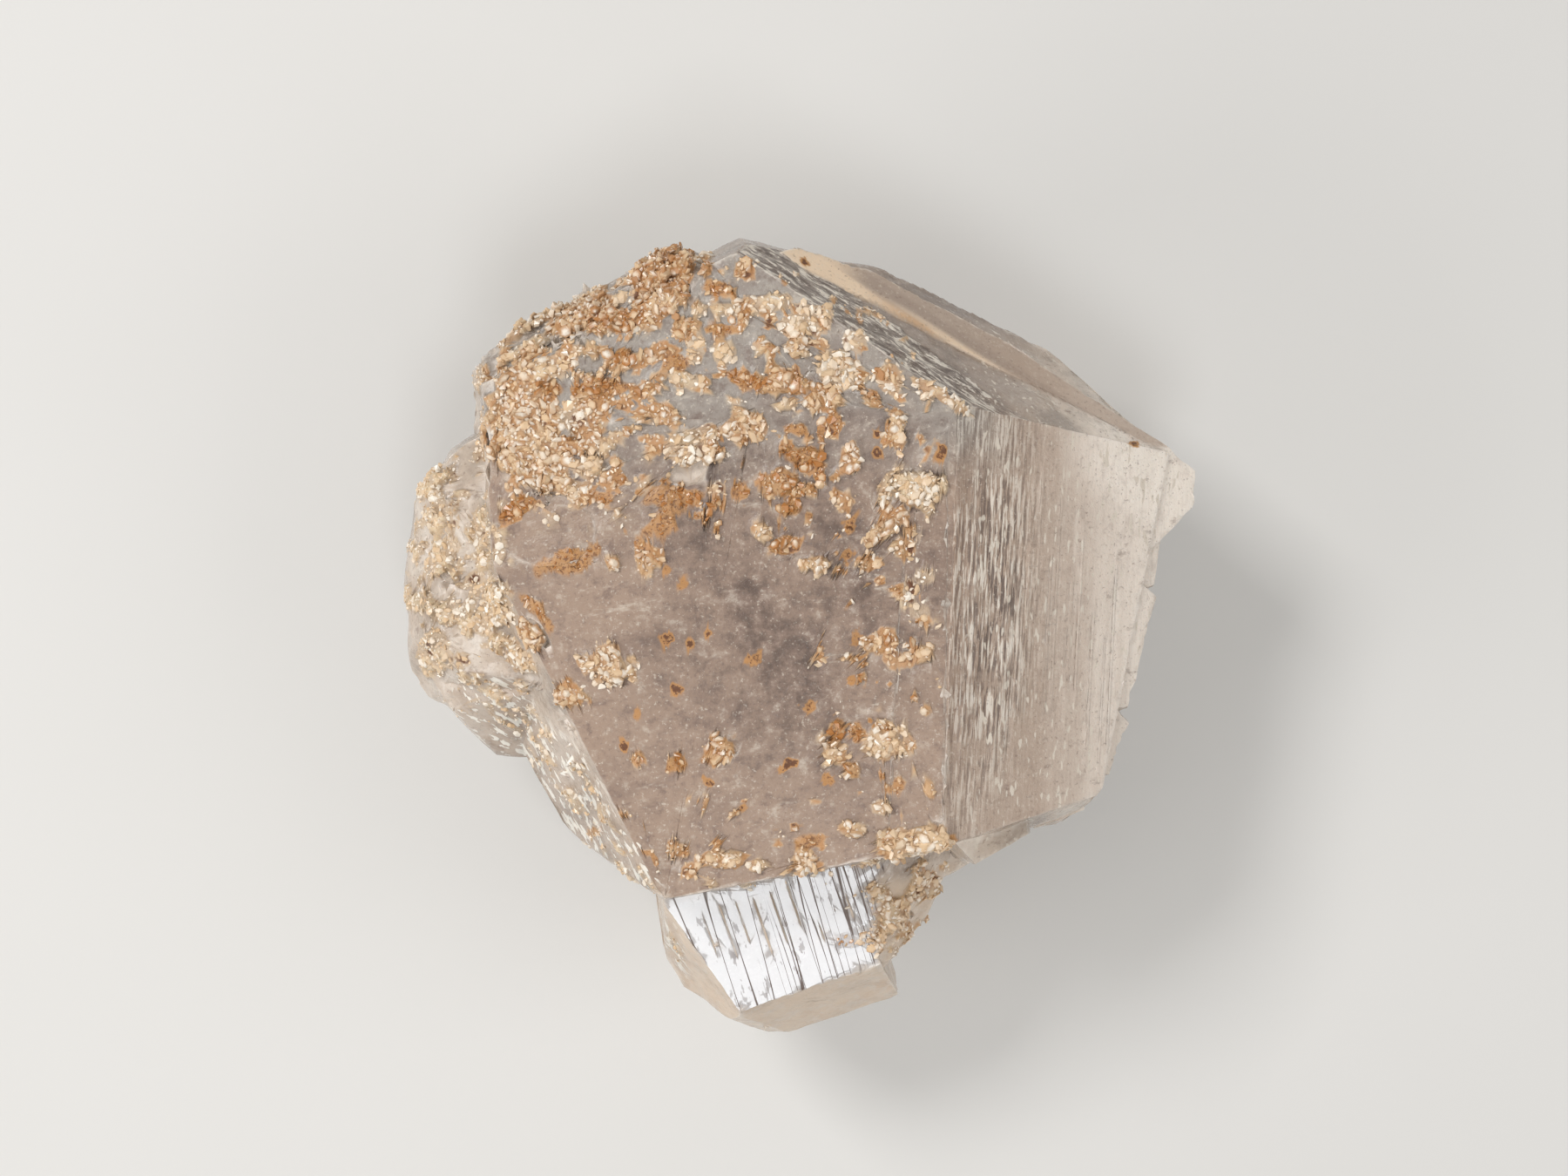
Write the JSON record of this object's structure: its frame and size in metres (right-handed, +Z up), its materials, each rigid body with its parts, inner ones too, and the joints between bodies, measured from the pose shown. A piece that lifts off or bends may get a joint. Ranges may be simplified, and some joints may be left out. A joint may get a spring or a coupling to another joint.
{
  "type": "quartz crystal",
  "caption": "Short, thick quartz crystal with a large tilted rhombohedron face, a striated prism face, a grain crust and a small side crystal, lying on a flat broken underside.",
  "frame": {"origin": "on the surface that the crystal lies on, under the middle of its outline seen from above", "axes": "+Z up, away from the flat broken underside; +X towards the striated prism face; +Y towards the back shoulder"},
  "size_m": [0.0524, 0.0526, 0.0298],
  "materials": {
    "quartz": "translucent milky to smoky quartz, satin natural faces with glossy patches",
    "grain_crust": "fine quartz grains, white to cream with orange iron stains, glittering"
  },
  "bodies": {
    "root": {"quartz_crystal": "quartz"}
  },
  "joints": []
}
